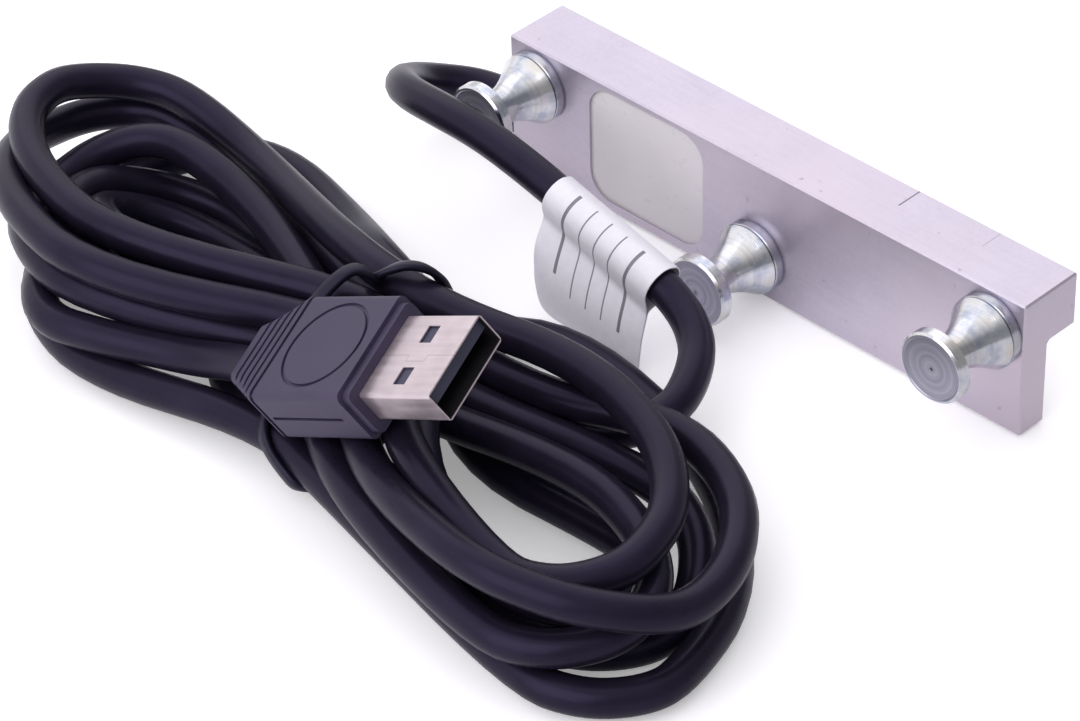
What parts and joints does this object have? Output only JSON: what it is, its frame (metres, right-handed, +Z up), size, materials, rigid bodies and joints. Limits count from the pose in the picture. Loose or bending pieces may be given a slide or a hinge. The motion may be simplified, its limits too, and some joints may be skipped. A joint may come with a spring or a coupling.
{
  "type": "rope overload sensor",
  "caption": "Milled aluminium bar with turned posts that a rope is threaded past, a potted strain-gauge pocket in its face, and a tied hank of cable ending in a type-A data plug.",
  "frame": {"origin": "on the floor, under the middle of the box around the bar and its posts", "axes": "+X along the bar, from the cable's end to the other, +Y towards the bar's back, away from the posts, +Z up"},
  "size_m": [0.131, 0.0848, 0.0321],
  "materials": {
    "bar_alloy": "satin",
    "post_steel": "bright zinc plate",
    "potting": "milky",
    "gauge_foil": "satin",
    "board": "satin",
    "chip": "matt",
    "crystal_can": "satin",
    "capacitor": "matt",
    "core_insulation": "satin",
    "boot": "matt",
    "cable_jacket": "satin",
    "tie": "satin",
    "label": "matt",
    "overmould": "matt",
    "plug_nickel": "nickel plate",
    "tongue": "satin",
    "contact_gold": "gold flash"
  },
  "bodies": {
    "root": {"sensor_bar": "bar_alloy", "post_left": "post_steel", "post_centre": "post_steel", "post_right": "post_steel", "pocket_potting": "potting", "gauge_upper": "gauge_foil", "gauge_lower": "gauge_foil", "signal_board": "board", "converter_chip": "chip", "amplifier_chip": "chip", "clock_crystal": "crystal_can", "board_capacitors": "capacitor", "cable_cores": "core_insulation", "cable_boot": "boot", "cable_lead": "cable_jacket", "cable_hank": "cable_jacket", "cable_tail": "cable_jacket", "hank_tie": "tie", "label_flag": "label", "plug_overmould": "overmould", "plug_shell": "plug_nickel", "plug_tongue": "tongue", "plug_contact_1": "contact_gold", "plug_contact_2": "contact_gold", "plug_contact_3": "contact_gold", "plug_contact_4": "contact_gold"}
  },
  "joints": []
}
